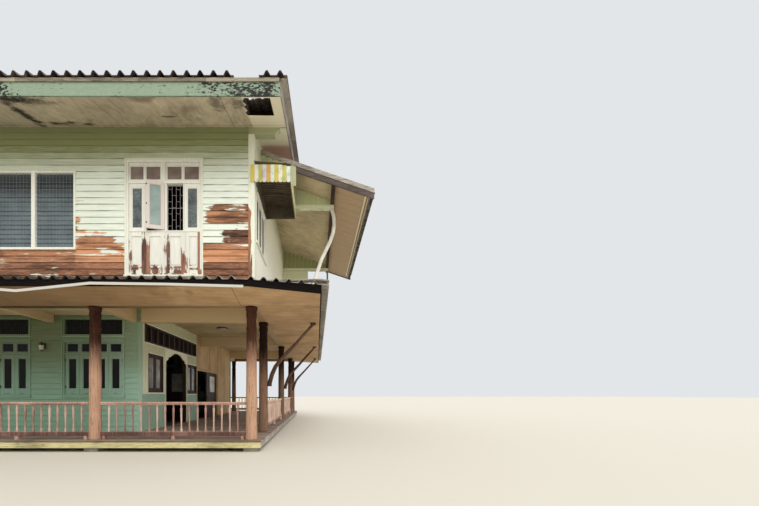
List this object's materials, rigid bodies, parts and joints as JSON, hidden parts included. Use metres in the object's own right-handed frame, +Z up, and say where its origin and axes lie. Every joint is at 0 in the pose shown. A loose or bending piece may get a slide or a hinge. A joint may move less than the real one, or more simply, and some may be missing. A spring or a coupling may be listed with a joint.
{
  "type": "timber house on posts",
  "caption": "Weathered wooden house on a low deck, upper floor on round posts over a wrapped veranda, gabled ribbed roof, side lean-to and hipped lower roof.",
  "frame": {"origin": "middle of the underside of the footing of the front right post, at ground level", "axes": "+X to the right along the front, +Y to the back, +Z up"},
  "size_m": [14.1445, 14.5414, 9.3855],
  "materials": {
    "concrete": "rough cast concrete",
    "grey_timber": "bare weathered timber",
    "rim_paint": "faded yellow green paint on a plank",
    "deck_boards": "worn brown boards",
    "post_timber": "round hardwood post, dark stain faded to pink brown",
    "tan_paint": "tan painted timber",
    "raw_timber": "dark bare timber",
    "green_siding": "lapped boards in mint green paint",
    "cream_boards": "cream painted boards",
    "plywood": "tan plywood sheets",
    "white_paint": "peeling white paint on timber",
    "dark_door": "dark brown painted timber",
    "window_paint": "mint painted window timber",
    "pale_siding": "lapped boards, pale mint paint peeling to bare red timber",
    "louvre_glass": "dusty glass blades",
    "awning_metal": "striped ribbed sheet",
    "roof_sheet": "aged fibre cement roof sheets",
    "soffit_sheet": "stained tan ceiling sheets",
    "mint_paint": "mint painted boards",
    "pipe_steel": "dull painted steel tube",
    "white_plastic": "white plastic pipe",
    "black_timber": "rotted black timber",
    "rail_paint": "faded red brown paint on turned balusters",
    "lamp_metal": "dull metal lamp"
  },
  "bodies": {
    "house": {"footings": "concrete", "deck_frame": "grey_timber", "rim_boards": "rim_paint", "veranda_deck": "deck_boards", "house_floor": "deck_boards", "front_posts": "post_timber", "back_posts": "post_timber", "floor_beams": "tan_paint", "cross_beams": "tan_paint", "upper_floor": "raw_timber", "veranda_ceiling": "tan_paint", "lower_front_wall": "green_siding", "lower_rear_wall": "green_siding", "lower_left_wall": "green_siding", "side_wall_corner": "cream_boards", "side_wall_head": "cream_boards", "side_wall_middle": "cream_boards", "ply_wall_over_door": "plywood", "ply_wall_rear": "plywood", "arch_casing": "white_paint", "door_frame": "plywood", "front_lower_windows": "window_paint", "back_lower_windows": "window_paint", "side_windows": "dark_door", "upper_front_wall": "pale_siding", "upper_right_wall": "pale_siding", "upper_left_wall": "pale_siding", "upper_rear_wall": "pale_siding", "tall_windows": "white_paint", "open_casements": "white_paint", "louvred_window": "louvre_glass", "upper_back_windows": "louvre_glass", "awning": "awning_metal", "wall_plates": "pale_siding", "roof_timbers": "raw_timber", "roof_sheets": "roof_sheet", "roof_caps": "roof_sheet", "roof_soffits": "soffit_sheet", "fascia_boards": "mint_paint", "verge_boards": "grey_timber", "side_roof_frame": "raw_timber", "side_roof_sheets": "roof_sheet", "side_roof_soffit": "soffit_sheet", "side_roof_boards": "grey_timber", "side_infills": "mint_paint", "slender_post": "pipe_steel", "rain_pipe": "white_plastic", "lower_roof_frame": "raw_timber", "lower_roof_sheets": "roof_sheet", "lower_soffit": "soffit_sheet", "lower_fascia": "black_timber", "eave_trim": "white_paint", "knee_braces": "post_timber", "front_balustrade": "rail_paint", "side_balustrade": "rail_paint", "rear_balustrade": "rail_paint", "lamps": "lamp_metal"},
    "near_leaf": {"near_door_leaf": "dark_door"},
    "far_leaf": {"far_door_leaf": "dark_door"}
  },
  "joints": [
    {"name": "near_door", "type": "hinge", "parent": "house", "child": "near_leaf", "pos_m": [-3.39, 5.6025, 0.25], "axis": [0, 0, 1], "range_deg": [-90, 0]},
    {"name": "far_door", "type": "hinge", "parent": "house", "child": "far_leaf", "pos_m": [-3.39, 8.1975, 0.25], "axis": [0, 0, 1], "range_deg": [-90, 0]}
  ]
}
